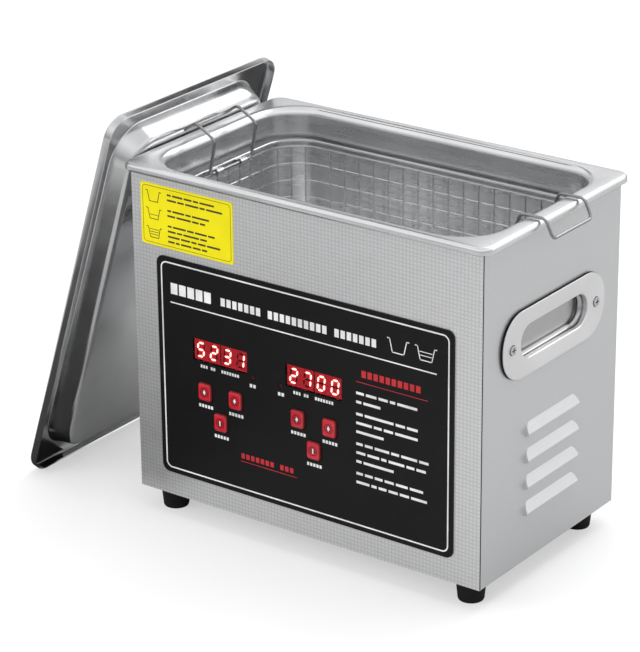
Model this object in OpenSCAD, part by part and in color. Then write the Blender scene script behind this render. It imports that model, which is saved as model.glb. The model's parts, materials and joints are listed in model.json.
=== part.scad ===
// Table-top ultrasonic cleaner with a hanging wire basket and a loose lid that leans on its left side.
// X runs along the front, Y to the back, Z up. The origin is the middle of the footprint, on the table.

/* [Casing] */
// Width of the casing
casing_w = 255; // [235:1:275]
// Depth of the casing
casing_d = 150; // [140:1:160]
// Height of the casing, from its bottom edge to the underside of the tank's rim
casing_h = 212; // [205:1:225]
// Sheet thickness of the casing
sheet = 0.8; // [0.6:0.1:1.0]
// Height of the rubber feet
foot_h = 15.5; // [12:0.5:17]

/* [Tank] */
// How far the tank's rim stands out past the casing
rim_overhang = 5; // [3:0.5:6]
// Height of the turned-down edge of the rim
rim_drop = 4.5; // [4:0.5:6]
// Inside length of the tank
tank_w = 238; // [220:1:239]
// Inside width of the tank
tank_d = 139; // [126:1:140]
// Depth of the tank
tank_depth = 100; // [90:1:104]
// Corner radius of the tank, seen from above
tank_r = 27; // [15:1:32]

/* [Basket] */
// Gap between the basket and the tank's wall
basket_gap = 5; // [4:0.5:7]
// Depth of the basket's rim below the top of the tank
basket_rim_depth = 18.6; // [16:0.2:24]
// Height of the basket
basket_h = 73; // [60:1:78]
// Distance between the wires of the mesh
mesh_pitch = 11.5; // [8:0.5:16]
// Angle that the left grip is swung up off the tank's rim
left_grip_swing = 31; // [30:0.5:40]

/* [Lid] */
// Length of the lid
lid_w = 268; // [266:1:270]
// Width of the lid
lid_d = 166; // [161.5:0.5:167]
// Depth of the pan pressed into the lid
pan_depth = 15.2; // [10:0.2:15.6]
// Width of the flat rim round the pan
lid_rim = 12; // [10:0.5:18]
// Depth of the lid's turned edge
lid_lip = 6; // [4:0.5:8]
// Lean of the lid from upright
lid_tilt = 17.4; // [15:0.1:20]
// How far the lid stands behind the middle of the casing
lid_set_back = 2.5; // [0:0.5:4]

/* [Controls] */
// Width of the printed front overlay
overlay_w = 218; // [216:1:226]
// Height of the printed front overlay
overlay_h = 144.6; // [140:0.2:150]
// Distance between two buttons side by side
button_pitch = 23.4; // [20:0.2:26]
// Travel of a button
button_travel = 0.5; // [0.3:0.1:0.5]

/* [Sides] */
// Length of the handle's frame
handle_w = 112; // [108:1:118]
// Height of the handle's frame
handle_h = 42; // [38:1:46]
// Number of louvres on each side
louvre_count = 4; // [2:1:4]
// Distance between two louvres
louvre_pitch = 17.2; // [14:0.2:18]

/* [Hidden] */

// Circles that fit something are this smooth, and a rounded corner has this many straight steps.
$fn = 48;
corner_steps = 6;
// A hair that keeps two pieces apart, and an overlap that makes a cut go right through.
hair = 0.1;
through = 1;

// Heights and faces of the casing
base_z = foot_h;
casing_top = base_z + casing_h;
rim_top = casing_top + rim_drop - 0.5;
front_y = -casing_d / 2;
side_x = casing_w / 2;
rim_w = casing_w + 2 * rim_overhang;
rim_d = casing_d + 2 * rim_overhang;
gasket_t = 0.8;
panel_top = rim_top - sheet - gasket_t;
return_w = 10;
top_return_w = 3.2;
base_t = 1;
tank_t = 0.8;
tank_floor = rim_top - tank_depth;
tank_under = tank_floor - tank_t;

// Places on the front: the two groups of keys, the displays and the indicator lamps
overlay_t = 0.8;
overlay_z = base_z + 88;
group_x = [-61.6, 8.9];
display_z = base_z + 104.4;
window_size = [41, 14.4];
button_size = [10.4, 12];
button_z = [base_z + 77.5, base_z + 59.7];
lamp_x = [group_x[0] + 24.8, group_x[1] - 24.4];
lamp_z = base_z + 96;
lamp_r = 1.5;
board_t = 1.6;
control_board_y = front_y + 8.4;
control_board_size = [200, 62];
control_board_z = base_z + 82;

// Handles and louvres
handle_z = base_z + 143.5;
handle_opening = [73.5, 21];
handle_screw_y = 46;
frame_t = 1;
cup_floor_x = side_x - 5.2;
louvre_w = 57;
louvre_h = 8.6;
louvre_out = 3.2;
louvre_z = base_z + 82.6;

// Feet
foot_place = [casing_w / 2 - 15.5, casing_d / 2 - 15];
foot_tread_r = 7.4;
foot_low_r = 8.2;
foot_top_r = 9.6;
foot_bevel = 1.2;
foot_screw_z = foot_h - 6;

// Transducers, from the tank's floor down
horn_h = 24;
piezo_t = 5;
electrode_t = 0.3;
transducer_r = 22.5;
transducer_x = 55;
horn_bottom = tank_under - horn_h;
upper_piezo = horn_bottom - piezo_t;
upper_electrode = upper_piezo - electrode_t;
lower_piezo = upper_electrode - piezo_t;
lower_electrode = lower_piezo - electrode_t;
back_mass_h = 20;
back_mass_z = lower_electrode - back_mass_h;
bolt_r = 4;

// Boards in the base
generator_z = base_z + base_t + 10;
generator_size = [150, 95];
generator_at = [5, -5];
generator_top = generator_z + board_t;

// Rear fittings
fan_size = 60;
fan_t = 15;
fan_at = [58, base_z + 47];
fan_bore_r = 28.5;
inlet_at = [-84, base_z + 32];
rocker_at = [-84, base_z + 72];

// Basket
basket_w = tank_w - 2 * basket_gap - 1;
basket_d = tank_d - 2 * basket_gap + 2;
basket_r = tank_r - 2;
rim_band_h = 5.5;
rim_band_t = 0.8;
basket_top = rim_top - basket_rim_depth;
basket_bottom = basket_top - basket_h;
mesh_wire = 0.9;
mesh_top = basket_top - rim_band_h + 0.7;
grip_wire_r = 1;
grip_half = 21;
pivot_x = basket_w / 2 - 4;
pivot_z = basket_top - 2.4;
clip_w = 6;
clip_y = 12;

// Lid, drawn flat with its outer face at z = 0 and then stood up
lid_t = 0.8;
lid_corner = 14;
pan_w = lid_w - 2 * lid_rim;
pan_d = lid_d - 2 * lid_rim;
pan_corner = 24;
pan_draft = 3;
lid_lean_gap = 0.5;
lid_run_up = (rim_top - lid_lip * sin(lid_tilt)) * tan(lid_tilt);
lid_foot_x = -rim_w / 2 - (pan_depth + lid_lean_gap) / cos(lid_tilt) - lid_run_up;
lid_handle_w = 92;
lid_handle_strap = 18;
lid_handle_rise = 7;
lid_handle_screw_x = 38;

// Points of an arc about c, from angle a to angle b
function arc(c, r, a, b, n = corner_steps) =
    [for (i = [0:n]) c + r * [cos(a + (b - a) * i / n), sin(a + (b - a) * i / n)]];

// Outline of a rectangle with rounded corners, centred on the origin
function round_rect(w, d, r) =
    concat(
        arc([w / 2 - r, d / 2 - r], r, 0, 90),
        arc([r - w / 2, d / 2 - r], r, 90, 180),
        arc([r - w / 2, r - d / 2], r, 180, 270),
        arc([w / 2 - r, r - d / 2], r, 270, 360));

module block(w, d, r, z, h) {
    translate([0, 0, z]) linear_extrude(h) polygon(round_rect(w, d, r));
}

module band(w, d, r, t, z, h) {
    translate([0, 0, z])
        linear_extrude(h)
            difference() {
                polygon(round_rect(w, d, r));
                polygon(round_rect(w - 2 * t, d - 2 * t, r - t));
            }
}

// A flat drawing stood up facing the front: its x is X and its y is Z, from y up to y + t
module facing_front(y, t) {
    translate([0, y + t, 0]) rotate([90, 0, 0]) linear_extrude(t) children();
}

// A flat drawing stood up facing the side: its x is Y and its y is Z, from x up to x + t
module facing_side(x, t) {
    translate([x, 0, 0]) rotate([90, 0, 90]) linear_extrude(t) children();
}

module box(from, to) {
    translate(from) cube(to - from);
}

module rod(from, length, r, axis) {
    turn = axis == "x" ? [0, 90, 0] : axis == "y" ? [-90, 0, 0] : [0, 0, 0];
    translate(from) rotate(turn) cylinder(h = length, r = r);
}

module four_corners(x, y) {
    for (sx = [-1, 1])
        for (sy = [-1, 1])
            translate([sx * x, sy * y]) children();
}

// A round wire through the points: straight lengths that run a little past each corner and so join
module wire(points, r, sides, closed = false) {
    n = len(points);
    last = closed ? n - 1 : n - 2;
    for (i = [0:last]) {
        from = points[i];
        to = points[(i + 1) % n];
        along = (to - from) / norm(to - from);
        start = !closed && i == 0 ? from : from - along * r;
        end = !closed && i == last ? to : to + along * r;
        straight(start, end, r, sides);
    }
}

function columns(x, y, z, at) =
    [[x[0], y[0], z[0], at[0]], [x[1], y[1], z[1], at[1]], [x[2], y[2], z[2], at[2]], [0, 0, 0, 1]];

module straight(a, b, r, sides) {
    along = (b - a) / norm(b - a);
    lean = abs(along[2]) < 0.9 ? [0, 0, 1] : [1, 0, 0];
    across = cross(lean, along) / norm(cross(lean, along));
    multmatrix(columns(across, cross(along, across), along, a))
        cylinder(h = norm(b - a), r = r, $fn = sides);
}

// Casing -----------------------------------------------------------------------------------------

// A pan-head screw with a cross recess, its head's underside at the origin and its shank down -Z
module screw(head_r, head_h, shank_r, shank) {
    difference() {
        cylinder(h = head_h, r = head_r, $fn = 24);
        for (turn = [0, 90])
            rotate(turn)
                translate([-head_r * 0.6, -head_r * 0.12, head_h * 0.45])
                    cube([head_r * 1.2, head_r * 0.24, head_h]);
    }
    translate([0, 0, -shank])
        cylinder(h = shank + head_h / 4, r = shank_r, $fn = 24);
}

module button_places() {
    for (group = group_x) {
        for (side = [-1, 1])
            translate([group + side * button_pitch / 2, button_z[0]]) children();
        translate([group, button_z[1]]) children();
    }
}

module front_cuts(clear) {
    for (group = group_x)
        translate([group, display_z])
            polygon(round_rect(window_size[0] + 2 * clear, window_size[1] + 2 * clear, 1));
    button_places()
        polygon(round_rect(button_size[0] + 2 * clear, button_size[1] + 2 * clear, 2.4));
    for (x = lamp_x)
        translate([x, lamp_z]) circle(lamp_r + clear);
}

// Folded edges inside a front or back sheet, drawn for the front
module front_returns() {
    for (side = [-1, 1])
        mirror([side < 0 ? 1 : 0, 0, 0])
            box([side_x - 2 * sheet - hair, front_y + sheet / 2, base_z + 12],
                [side_x - sheet - hair, front_y + return_w, panel_top - 6]);
    difference() {
        box([-110, front_y + sheet / 2, base_z + base_t + hair],
            [110, front_y + return_w, base_z + base_t + hair + sheet]);
        for (x = [-60, 60])
            rod([x, front_y + 5.5, base_z], 5, 1.6, "z");
    }
    box([-108, front_y + sheet / 2, panel_top - sheet], [108, front_y + sheet + top_return_w, panel_top]);
}

module front_panel() {
    color([0.76, 0.77, 0.78]) {
        facing_front(front_y, sheet)
            difference() {
                translate([-side_x, base_z]) square([casing_w, panel_top - base_z]);
                front_cuts(0.4);
            }
        front_returns();
    }
}

// A pressed louvre hood, its straight open edge along the bottom at the origin
module louvre_form(inset) {
    drop = inset > 0 ? through : 0;
    intersection() {
        facing_side(-2, louvre_out + 4)
            polygon(concat(
                [[inset - louvre_w / 2, -drop], [louvre_w / 2 - inset, -drop]],
                arc([louvre_w / 2 - 7, louvre_h - 7], 7 - inset, 0, 90),
                arc([7 - louvre_w / 2, louvre_h - 7], 7 - inset, 90, 180)));
        translate([0, louvre_w / 2, 0])
            rotate([90, 0, 0])
                linear_extrude(louvre_w)
                    polygon([[-sheet - inset, -drop], [louvre_out - inset, -drop],
                        [louvre_out - inset, 1.6 - inset / 2], [-sheet / 2, louvre_h - inset],
                        [-sheet - inset, louvre_h - inset]]);
    }
}

module louvre_places() {
    for (i = [0:louvre_count - 1])
        translate([side_x, 0, louvre_z - i * louvre_pitch]) children();
}

module side_panel() {
    color([0.74, 0.75, 0.76]) {
        difference() {
            union() {
                facing_side(side_x - sheet, sheet)
                    translate([front_y + sheet + hair, base_z])
                        square([casing_d - 2 * sheet - 2 * hair, panel_top - base_z]);
                louvre_places() louvre_form(0);
            }
            louvre_places() louvre_form(sheet);
            facing_side(side_x - sheet - through, sheet + 2 * through)
                translate([0, handle_z])
                    polygon(round_rect(handle_opening[0] + 6, handle_opening[1] + 6, 13.4));
            for (side = [-1, 1])
                rod([side_x - 3, side * handle_screw_y, handle_z], 6, 1.6, "x");
        }
        difference() {
            box([side_x - return_w, -54, base_z + base_t + hair],
                [side_x - sheet / 2, 54, base_z + base_t + hair + sheet]);
            for (y = [-30, 30])
                rod([side_x - 5.5, y, base_z], 5, 1.6, "z");
        }
        box([side_x - sheet - top_return_w, -44, panel_top - sheet], [side_x - sheet / 2, 44, panel_top]);
    }
}

module right_side_panel() {
    side_panel();
}

module left_side_panel() {
    mirror([1, 0, 0]) side_panel();
}

module rear_cuts() {
    slot_h = 3;
    slot_step = 6;
    reach = 26;
    for (i = [-4:4])
        translate([fan_at[0], fan_at[1] + i * slot_step])
            square([2 * sqrt(reach * reach - pow(i * slot_step, 2)), slot_h], center = true);
    for (sx = [-1, 1])
        for (sz = [-1, 1])
            translate([fan_at[0] + sx * 25, fan_at[1] + sz * 25]) circle(1.7);
    translate(inlet_at) square([28.4, 20.8], center = true);
    for (side = [-1, 1])
        translate([inlet_at[0] + side * 20, inlet_at[1]]) circle(1.7);
    translate(rocker_at) square([13.2, 19.4], center = true);
}

module rear_panel() {
    color([0.76, 0.77, 0.78]) {
        facing_front(-front_y - sheet, sheet)
            difference() {
                translate([-side_x, base_z]) square([casing_w, panel_top - base_z]);
                rear_cuts();
            }
        mirror([0, 1, 0]) front_returns();
    }
}

module base_screw_places() {
    for (sy = [-1, 1])
        for (x = [-60, 60])
            translate([x, sy * (casing_d / 2 - 5.5), base_z]) children();
    for (sx = [-1, 1])
        for (y = [-30, 30])
            translate([sx * (side_x - 5.5), y, base_z]) children();
}

module base_plate() {
    color([0.6, 0.61, 0.62])
        difference() {
            union() {
                box([-side_x + sheet + 2 * hair, front_y + sheet + 2 * hair, base_z],
                    [side_x - sheet - 2 * hair, -front_y - sheet - 2 * hair, base_z + base_t]);
                four_corners(foot_place[0], foot_place[1])
                    translate([0, 0, base_z]) cylinder(h = 4, r = 4);
            }
            four_corners(foot_place[0], foot_place[1])
                translate([0, 0, base_z - through]) cylinder(h = 8, r = 2.06);
            base_screw_places()
                translate([0, 0, -through]) cylinder(h = 3, r = 1.6);
            for (i = [-5:5])
                box([-100 - 9, i * 8 - 1.5, base_z - through], [-100 + 9, i * 8 + 1.5, base_z + 2]);
        }
}

module base_screws() {
    color([0.7, 0.7, 0.72])
        base_screw_places()
            rotate([180, 0, 0])
                screw(2.8, 1.6, 1.5, 5);
}

// Tank -------------------------------------------------------------------------------------------

module tank() {
    color([0.8, 0.81, 0.82]) {
        difference() {
            union() {
                block(rim_w - 3, rim_d - 3, 8, rim_top - tank_t, tank_t);
                band(rim_w - 1, rim_d - 1, 8.5, 1.4, rim_top - 1.6, 1.2);
                band(rim_w, rim_d, 9, 0.9, casing_top - 0.5, rim_drop - 1.5);
            }
            block(tank_w + 0.4, tank_d + 0.4, tank_r, rim_top - 5, 10);
        }
        band(tank_w + 2 * tank_t, tank_d + 2 * tank_t, tank_r + tank_t, tank_t, tank_under, tank_depth + tank_t);
        block(tank_w + tank_t, tank_d + tank_t, tank_r, tank_under, tank_t);
    }
}

module rim_gasket() {
    color([0.12, 0.12, 0.12])
        band(casing_w - 1, casing_d - 1, 4, 3, panel_top, gasket_t);
}

// Controls ---------------------------------------------------------------------------------------

module control_overlay() {
    color([0.03, 0.03, 0.035])
        facing_front(front_y - overlay_t, overlay_t)
            difference() {
                translate([0, overlay_z]) polygon(round_rect(overlay_w, overlay_h, 5));
                front_cuts(0.3);
            }
}

module warning_sticker() {
    color([0.98, 0.93, 0.05])
        facing_front(front_y - 0.2, 0.2)
            translate([-85.2, base_z + 185.3])
                polygon(round_rect(70.4, 39.6, 2));
}

module display_windows() {
    color([0.35, 0.02, 0.02, 0.5])
        for (group = group_x)
            facing_front(front_y - overlay_t + hair, 0.6)
                translate([group, display_z])
                    polygon(round_rect(window_size[0] + 0.4, window_size[1] + 0.4, 1));
}

module display_module(x) {
    color([0.1, 0.02, 0.02])
        facing_front(front_y + 0.1, control_board_y - front_y - 0.1)
            translate([x, display_z])
                square([window_size[0] - 0.4, window_size[1] - 0.4], center = true);
}

module temperature_display() {
    display_module(group_x[0]);
}

module timer_display() {
    display_module(group_x[1]);
}

module indicator_leds() {
    color([0.9, 0.15, 0.1])
        for (x = lamp_x)
            rod([x, front_y - overlay_t + 0.1, lamp_z], control_board_y - front_y + overlay_t - 0.1, lamp_r, "y");
}

module control_board_holes() {
    for (sx = [-1, 1])
        for (sz = [-1, 1])
            translate([sx * (control_board_size[0] / 2 - 5), control_board_z + sz * (control_board_size[1] / 2 - 5)])
                children();
}

module control_board() {
    color([0.05, 0.3, 0.15]) {
        facing_front(control_board_y, board_t)
            difference() {
                translate([0, control_board_z])
                    square(control_board_size, center = true);
                control_board_holes() circle(1.7);
            }
        box([-22, control_board_y + board_t - 0.2, control_board_z - 24],
            [-8, control_board_y + board_t + 1.8, control_board_z - 10]);
    }
}

module tact_switches() {
    body_h = 3.6;
    plunger_y = front_y + sheet + 1.3 + button_travel + hair;
    color([0.15, 0.15, 0.15])
        button_places_upright() {
            box([-3, control_board_y - body_h, -3], [3, control_board_y, 3]);
            rod([0, plunger_y, 0], control_board_y - plunger_y - 1, 1.6, "y");
        }
}

module button_places_upright() {
    for (group = group_x) {
        for (side = [-1, 1])
            translate([group + side * button_pitch / 2, 0, button_z[0]]) children();
        translate([group, 0, button_z[1]]) children();
    }
}

// One key cap: a domed red face in front of the overlay and a collar behind the front sheet
module button(x, z) {
    color([0.8, 0.04, 0.04])
        translate([x, 0, z]) {
            facing_front(front_y - overlay_t - 1.1, sheet + overlay_t + 1.9)
                polygon(round_rect(button_size[0], button_size[1], 2.2));
            facing_front(front_y - overlay_t - 1.5, 0.5)
                polygon(round_rect(button_size[0] - 1.6, button_size[1] - 1.6, 1.6));
            facing_front(front_y + sheet + 0.3, 1)
                polygon(round_rect(button_size[0] + 3, button_size[1] + 2.4, 2.6));
        }
}

module temperature_up_button() {
    button(group_x[0] - button_pitch / 2, button_z[0]);
}

module temperature_down_button() {
    button(group_x[0] + button_pitch / 2, button_z[0]);
}

module heater_power_button() {
    button(group_x[0], button_z[1]);
}

module time_up_button() {
    button(group_x[1] - button_pitch / 2, button_z[0]);
}

module time_down_button() {
    button(group_x[1] + button_pitch / 2, button_z[0]);
}

module timer_power_button() {
    button(group_x[1], button_z[1]);
}

// Standoffs and screws that hold the control board and the generator board
module board_standoffs() {
    color([0.75, 0.7, 0.5]) {
        generator_corners()
            difference() {
                translate([0, 0, base_z + base_t]) cylinder(h = 10, r = 3);
                translate([0, 0, base_z + base_t + 3]) cylinder(h = 8, r = 1.5);
            }
        for (sx = [-1, 1])
            for (sz = [-1, 1])
                translate([sx * (control_board_size[0] / 2 - 5), front_y + sheet,
                    control_board_z + sz * (control_board_size[1] / 2 - 5)])
                    rotate([-90, 0, 0])
                        difference() {
                            cylinder(h = control_board_y - front_y - sheet, r = 2.8);
                            translate([0, 0, 2]) cylinder(h = 8, r = 1.5);
                        }
    }
}

module generator_corners() {
    translate(generator_at)
        four_corners(generator_size[0] / 2 - 5, generator_size[1] / 2 - 5) children();
}

module board_screws() {
    color([0.72, 0.72, 0.74]) {
        generator_corners()
            translate([0, 0, generator_top]) screw(2.8, 1.8, 1.4, 6.5);
        for (sx = [-1, 1])
            for (sz = [-1, 1])
                translate([sx * (control_board_size[0] / 2 - 5), control_board_y + board_t,
                    control_board_z + sz * (control_board_size[1] / 2 - 5)])
                    rotate([-90, 0, 0])
                        screw(2.8, 1.8, 1.4, 6.5);
    }
}

// Side handles -----------------------------------------------------------------------------------

module handle_frame() {
    color([0.85, 0.85, 0.86])
        difference() {
            facing_side(side_x + frame_t, frame_t)
                translate([0, handle_z])
                    difference() {
                        polygon(round_rect(handle_w, handle_h, handle_h / 2 - 1));
                        polygon(round_rect(handle_opening[0], handle_opening[1], 10.3));
                    }
            for (side = [-1, 1])
                rod([side_x, side * handle_screw_y, handle_z], 4, 1.6, "x");
        }
}

module right_handle_frame() {
    handle_frame();
}

module left_handle_frame() {
    mirror([1, 0, 0]) handle_frame();
}

// A shallow dish for the fingers, with a flange under the frame
module handle_cup() {
    wall = 0.8;
    dish = [handle_opening[0] + 4, handle_opening[1] + 4];
    color([0.7, 0.7, 0.71])
        difference() {
            union() {
                facing_side(cup_floor_x - wall, side_x + frame_t - hair - cup_floor_x + wall)
                    translate([0, handle_z]) polygon(round_rect(dish[0], dish[1], 12.4));
                facing_side(side_x + hair, frame_t - 2 * hair)
                    translate([0, handle_z]) polygon(round_rect(99.6, 33, 15));
            }
            facing_side(cup_floor_x, 12)
                translate([0, handle_z])
                    polygon(round_rect(dish[0] - 2 * wall, dish[1] - 2 * wall, 11.6));
            for (side = [-1, 1])
                rod([side_x - 2, side * handle_screw_y, handle_z], 6, 1.6, "x");
        }
}

module right_handle_cup() {
    handle_cup();
}

module left_handle_cup() {
    mirror([1, 0, 0]) handle_cup();
}

module handle_gasket() {
    facing_side(side_x, frame_t)
        translate([0, handle_z])
            difference() {
                polygon(round_rect(handle_w - 0.4, handle_h - 0.4, handle_h / 2 - 1.2));
                polygon(round_rect(100, 33.4, 15.2));
            }
}

module handle_gaskets() {
    color([0.06, 0.06, 0.06]) {
        handle_gasket();
        mirror([1, 0, 0]) handle_gasket();
    }
}

module handle_screws() {
    color([0.75, 0.75, 0.76])
        for (sx = [-1, 1])
            for (sy = [-1, 1])
                translate([sx * (side_x + 2 * frame_t), sy * handle_screw_y, handle_z])
                    rotate([0, sx * 90, 0])
                        screw(2.9, 0.9, 1.5, 6);
}

// Feet -------------------------------------------------------------------------------------------

module rubber_feet() {
    color([0.05, 0.05, 0.05])
        four_corners(foot_place[0], foot_place[1])
            difference() {
                union() {
                    cylinder(h = foot_bevel, r1 = foot_tread_r, r2 = foot_low_r);
                    translate([0, 0, foot_bevel]) cylinder(h = foot_h - foot_bevel, r1 = foot_low_r, r2 = foot_top_r);
                }
                translate([0, 0, -through]) cylinder(h = foot_screw_z + through, r = 4.2);
                translate([0, 0, -through]) cylinder(h = foot_h + 2 * through, r = 2.1);
            }
}

module foot_screws() {
    color([0.7, 0.7, 0.72])
        four_corners(foot_place[0], foot_place[1])
            translate([0, 0, foot_screw_z])
                rotate([180, 0, 0])
                    screw(3.7, 2.4, 2, 10.5);
}

// Transducers and heater -------------------------------------------------------------------------

module transducer_places() {
    for (side = [-1, 1])
        translate([side * transducer_x, 0, 0]) children();
}

module ring(r, bore, z, h) {
    translate([0, 0, z])
        difference() {
            cylinder(h = h, r = r);
            translate([0, 0, -through]) cylinder(h = h + 2 * through, r = bore);
        }
}

module transducer_horns() {
    color([0.8, 0.8, 0.82])
        transducer_places()
            difference() {
                translate([0, 0, horn_bottom])
                    cylinder(h = horn_h, r1 = transducer_r, r2 = 29);
                translate([0, 0, horn_bottom - through])
                    cylinder(h = 12 + through, r = bolt_r + 0.1);
            }
}

module piezo_rings() {
    color([0.86, 0.82, 0.72])
        transducer_places() {
            ring(transducer_r, 7, upper_piezo, piezo_t);
            ring(transducer_r, 7, lower_piezo, piezo_t);
        }
}

module transducer_electrodes() {
    color([0.8, 0.5, 0.25])
        transducer_places()
            for (z = [upper_electrode, lower_electrode])
                difference() {
                    union() {
                        translate([0, 0, z]) cylinder(h = electrode_t, r = transducer_r);
                        box([-2, 0, z], [2, transducer_r + 8, z + electrode_t]);
                    }
                    translate([0, 0, z - through]) cylinder(h = 3, r = 7);
                }
}

module transducer_back_masses() {
    color([0.45, 0.46, 0.48])
        transducer_places()
            ring(transducer_r, bolt_r + 0.1, back_mass_z, back_mass_h);
}

module transducer_bolts() {
    head_h = 6;
    reach = horn_bottom + 10 - back_mass_z;
    color([0.3, 0.3, 0.32])
        transducer_places() {
            translate([0, 0, back_mass_z - head_h]) cylinder(h = head_h, r = 7.2, $fn = 6);
            translate([0, 0, back_mass_z - 1]) cylinder(h = reach + 1, r = bolt_r);
        }
}

module heater_pads() {
    color([0.75, 0.35, 0.15])
        for (side = [-1, 1])
            mirror([0, side < 0 ? 0 : 1, 0])
                box([-85, -tank_d / 2 - tank_t - 1.6, tank_floor + 6], [85, -tank_d / 2 - tank_t, tank_floor + 56]);
}

module temperature_sensor() {
    color([0.85, 0.85, 0.8]) {
        rod([98, 0, tank_under - 6], 6, 6, "z");
        for (x = [95.5, 100.5])
            box([x - 0.4, -2, tank_under - 12], [x + 0.4, 2, tank_under - 5.5]);
    }
}

// Electronics in the base ------------------------------------------------------------------------

module generator_board() {
    color([0.1, 0.35, 0.12]) {
        difference() {
            translate([generator_at[0] - generator_size[0] / 2, generator_at[1] - generator_size[1] / 2, generator_z])
                cube([generator_size[0], generator_size[1], board_t]);
            generator_corners()
                translate([0, 0, generator_z - through]) cylinder(h = 4, r = 1.7);
        }
        for (x = [-34, -14, 45])
            box([x, -50, generator_top - 0.2], [x + 14, -42, generator_top + 9]);
    }
}

module heatsink() {
    fins = 8;
    fin_step = 6;
    fin_t = 1.5;
    length = fin_step * (fins - 1) + fin_t;
    color([0.55, 0.56, 0.58])
        translate([0, -28, generator_top + hair]) {
            cube([length, 50, 4]);
            for (i = [0:fins - 1])
                translate([i * fin_step, 0, 3]) cube([fin_t, 50, 25]);
        }
}

module power_transistors() {
    color([0.08, 0.08, 0.09])
        for (y = [-24, -10, 4])
            box([-5.2, y, generator_top + 2], [-0.1, y + 11, generator_top + 22]);
}

module output_transformer() {
    at = [-42, -5, generator_top + hair];
    translate(at) {
        color([0.2, 0.2, 0.22])
            difference() {
                translate([-17, -10, 0]) cube([34, 20, 32]);
                translate([-11, -11, 6]) cube([22, 22, 20]);
            }
        color([0.75, 0.45, 0.15])
            translate([0, -14, 16]) rotate([-90, 0, 0]) cylinder(h = 28, r = 9.6);
    }
}

module filter_capacitors() {
    color([0.1, 0.12, 0.35]) {
        rod([62, -12, generator_top], 32, 11, "z");
        rod([62, 14, generator_top], 32, 11, "z");
        rod([-15, 32, generator_top], 18, 6, "z");
        rod([-45, 30, generator_top], 18, 6, "z");
    }
}

// Rear fittings ----------------------------------------------------------------------------------

module fan_frame() {
    back = -front_y - sheet;
    color([0.08, 0.08, 0.08])
        translate([fan_at[0], 0, fan_at[1]]) {
            difference() {
                box([-fan_size / 2, back - fan_t, -fan_size / 2], [fan_size / 2, back, fan_size / 2]);
                rod([0, back - fan_t - through, 0], fan_t + 2 * through, fan_bore_r, "y");
                for (sx = [-1, 1])
                    for (sz = [-1, 1])
                        rod([sx * 25, back - fan_t - through, sz * 25], fan_t + 2 * through, 1.7, "y");
            }
            for (turn = [0, 120, 240])
                rotate([0, turn, 0])
                    box([-1.5, back - fan_t + 0.4, 12], [1.5, back - fan_t + 2, fan_bore_r + 0.6]);
            rod([0, back - fan_t + 0.2, 0], 2, 13, "y");
            rod([0, back - fan_t + 1, 0], 9.5, 1.5, "y");
        }
}

module fan_rotor() {
    back = -front_y - sheet;
    blades = 7;
    color([0.1, 0.1, 0.1])
        translate([fan_at[0], back - fan_t + 2.7, fan_at[1]])
            difference() {
                union() {
                    rod([0, 0, 0], 10.5, 13, "y");
                    for (i = [0:blades - 1])
                        rotate([0, i * 360 / blades, 0])
                            translate([0, 5.25, 19.5])
                                rotate([0, 0, 38])
                                    cube([1.2, 11, 15], center = true);
                }
                rod([0, -through, 0], 9.5 + through, 1.55, "y");
            }
}

module fan_screws() {
    color([0.7, 0.7, 0.72])
        for (sx = [-1, 1])
            for (sz = [-1, 1])
                translate([fan_at[0] + sx * 25, -front_y, fan_at[1] + sz * 25])
                    rotate([-90, 0, 0])
                        screw(2.8, 1.6, 1.5, 17);
}

// Mains inlet with three blades in its socket
module power_inlet() {
    back = -front_y;
    color([0.06, 0.06, 0.06])
        translate([inlet_at[0], 0, inlet_at[1]]) {
            difference() {
                union() {
                    facing_front(back, 3)
                        difference() {
                            polygon(round_rect(49, 26, 8));
                            for (side = [-1, 1])
                                translate([side * 20, 0]) circle(1.7);
                        }
                    facing_front(back - 20, 21) square([27.6, 20], center = true);
                }
                facing_front(back - 17, 24)
                    polygon([[-12, -8], [12, -8], [12, 4], [8, 8], [-8, 8], [-12, 4]]);
            }
            for (blade = [[-7, 0], [7, 0], [0, 4]])
                facing_front(back - 18, 15)
                    translate(blade) square([2, 4], center = true);
        }
}

module inlet_screws() {
    color([0.7, 0.7, 0.72])
        for (side = [-1, 1])
            translate([inlet_at[0] + side * 20, -front_y + 3, inlet_at[1]])
                rotate([-90, 0, 0])
                    screw(2.8, 1.6, 1.5, 9);
}

module rocker_housing() {
    back = -front_y;
    color([0.07, 0.07, 0.07])
        translate([rocker_at[0], 0, rocker_at[1]]) {
            difference() {
                union() {
                    facing_front(back, 1.6) polygon(round_rect(15, 21.4, 1.4));
                    facing_front(back - 14, 15) square([12.8, 19], center = true);
                }
                facing_front(back - 11, 14) square([9.6, 15.6], center = true);
            }
            rod([-5.2, back - 2.6, 0], 10.4, 1, "x");
        }
}

// The rocker rests with its lower half out; its profile is the same both ways about its pin
module rocker() {
    tilt = 10;
    profile = [[-3.4, -3.2], [-0.6, -6.6], [3.2, -6.9], [2.2, 0], [3.2, 6.9], [-0.6, 6.6], [-3.4, 3.2]];
    color([0.75, 0.05, 0.05])
        translate([rocker_at[0], -front_y - 2.6, rocker_at[1]])
            rotate([tilt, 0, 0])
                difference() {
                    translate([-4.5, 0, 0]) rotate([90, 0, 90]) linear_extrude(9) polygon(profile);
                    rod([-8, 0, 0], 16, 1.05, "x");
                }
}

// Wiring -----------------------------------------------------------------------------------------

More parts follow.
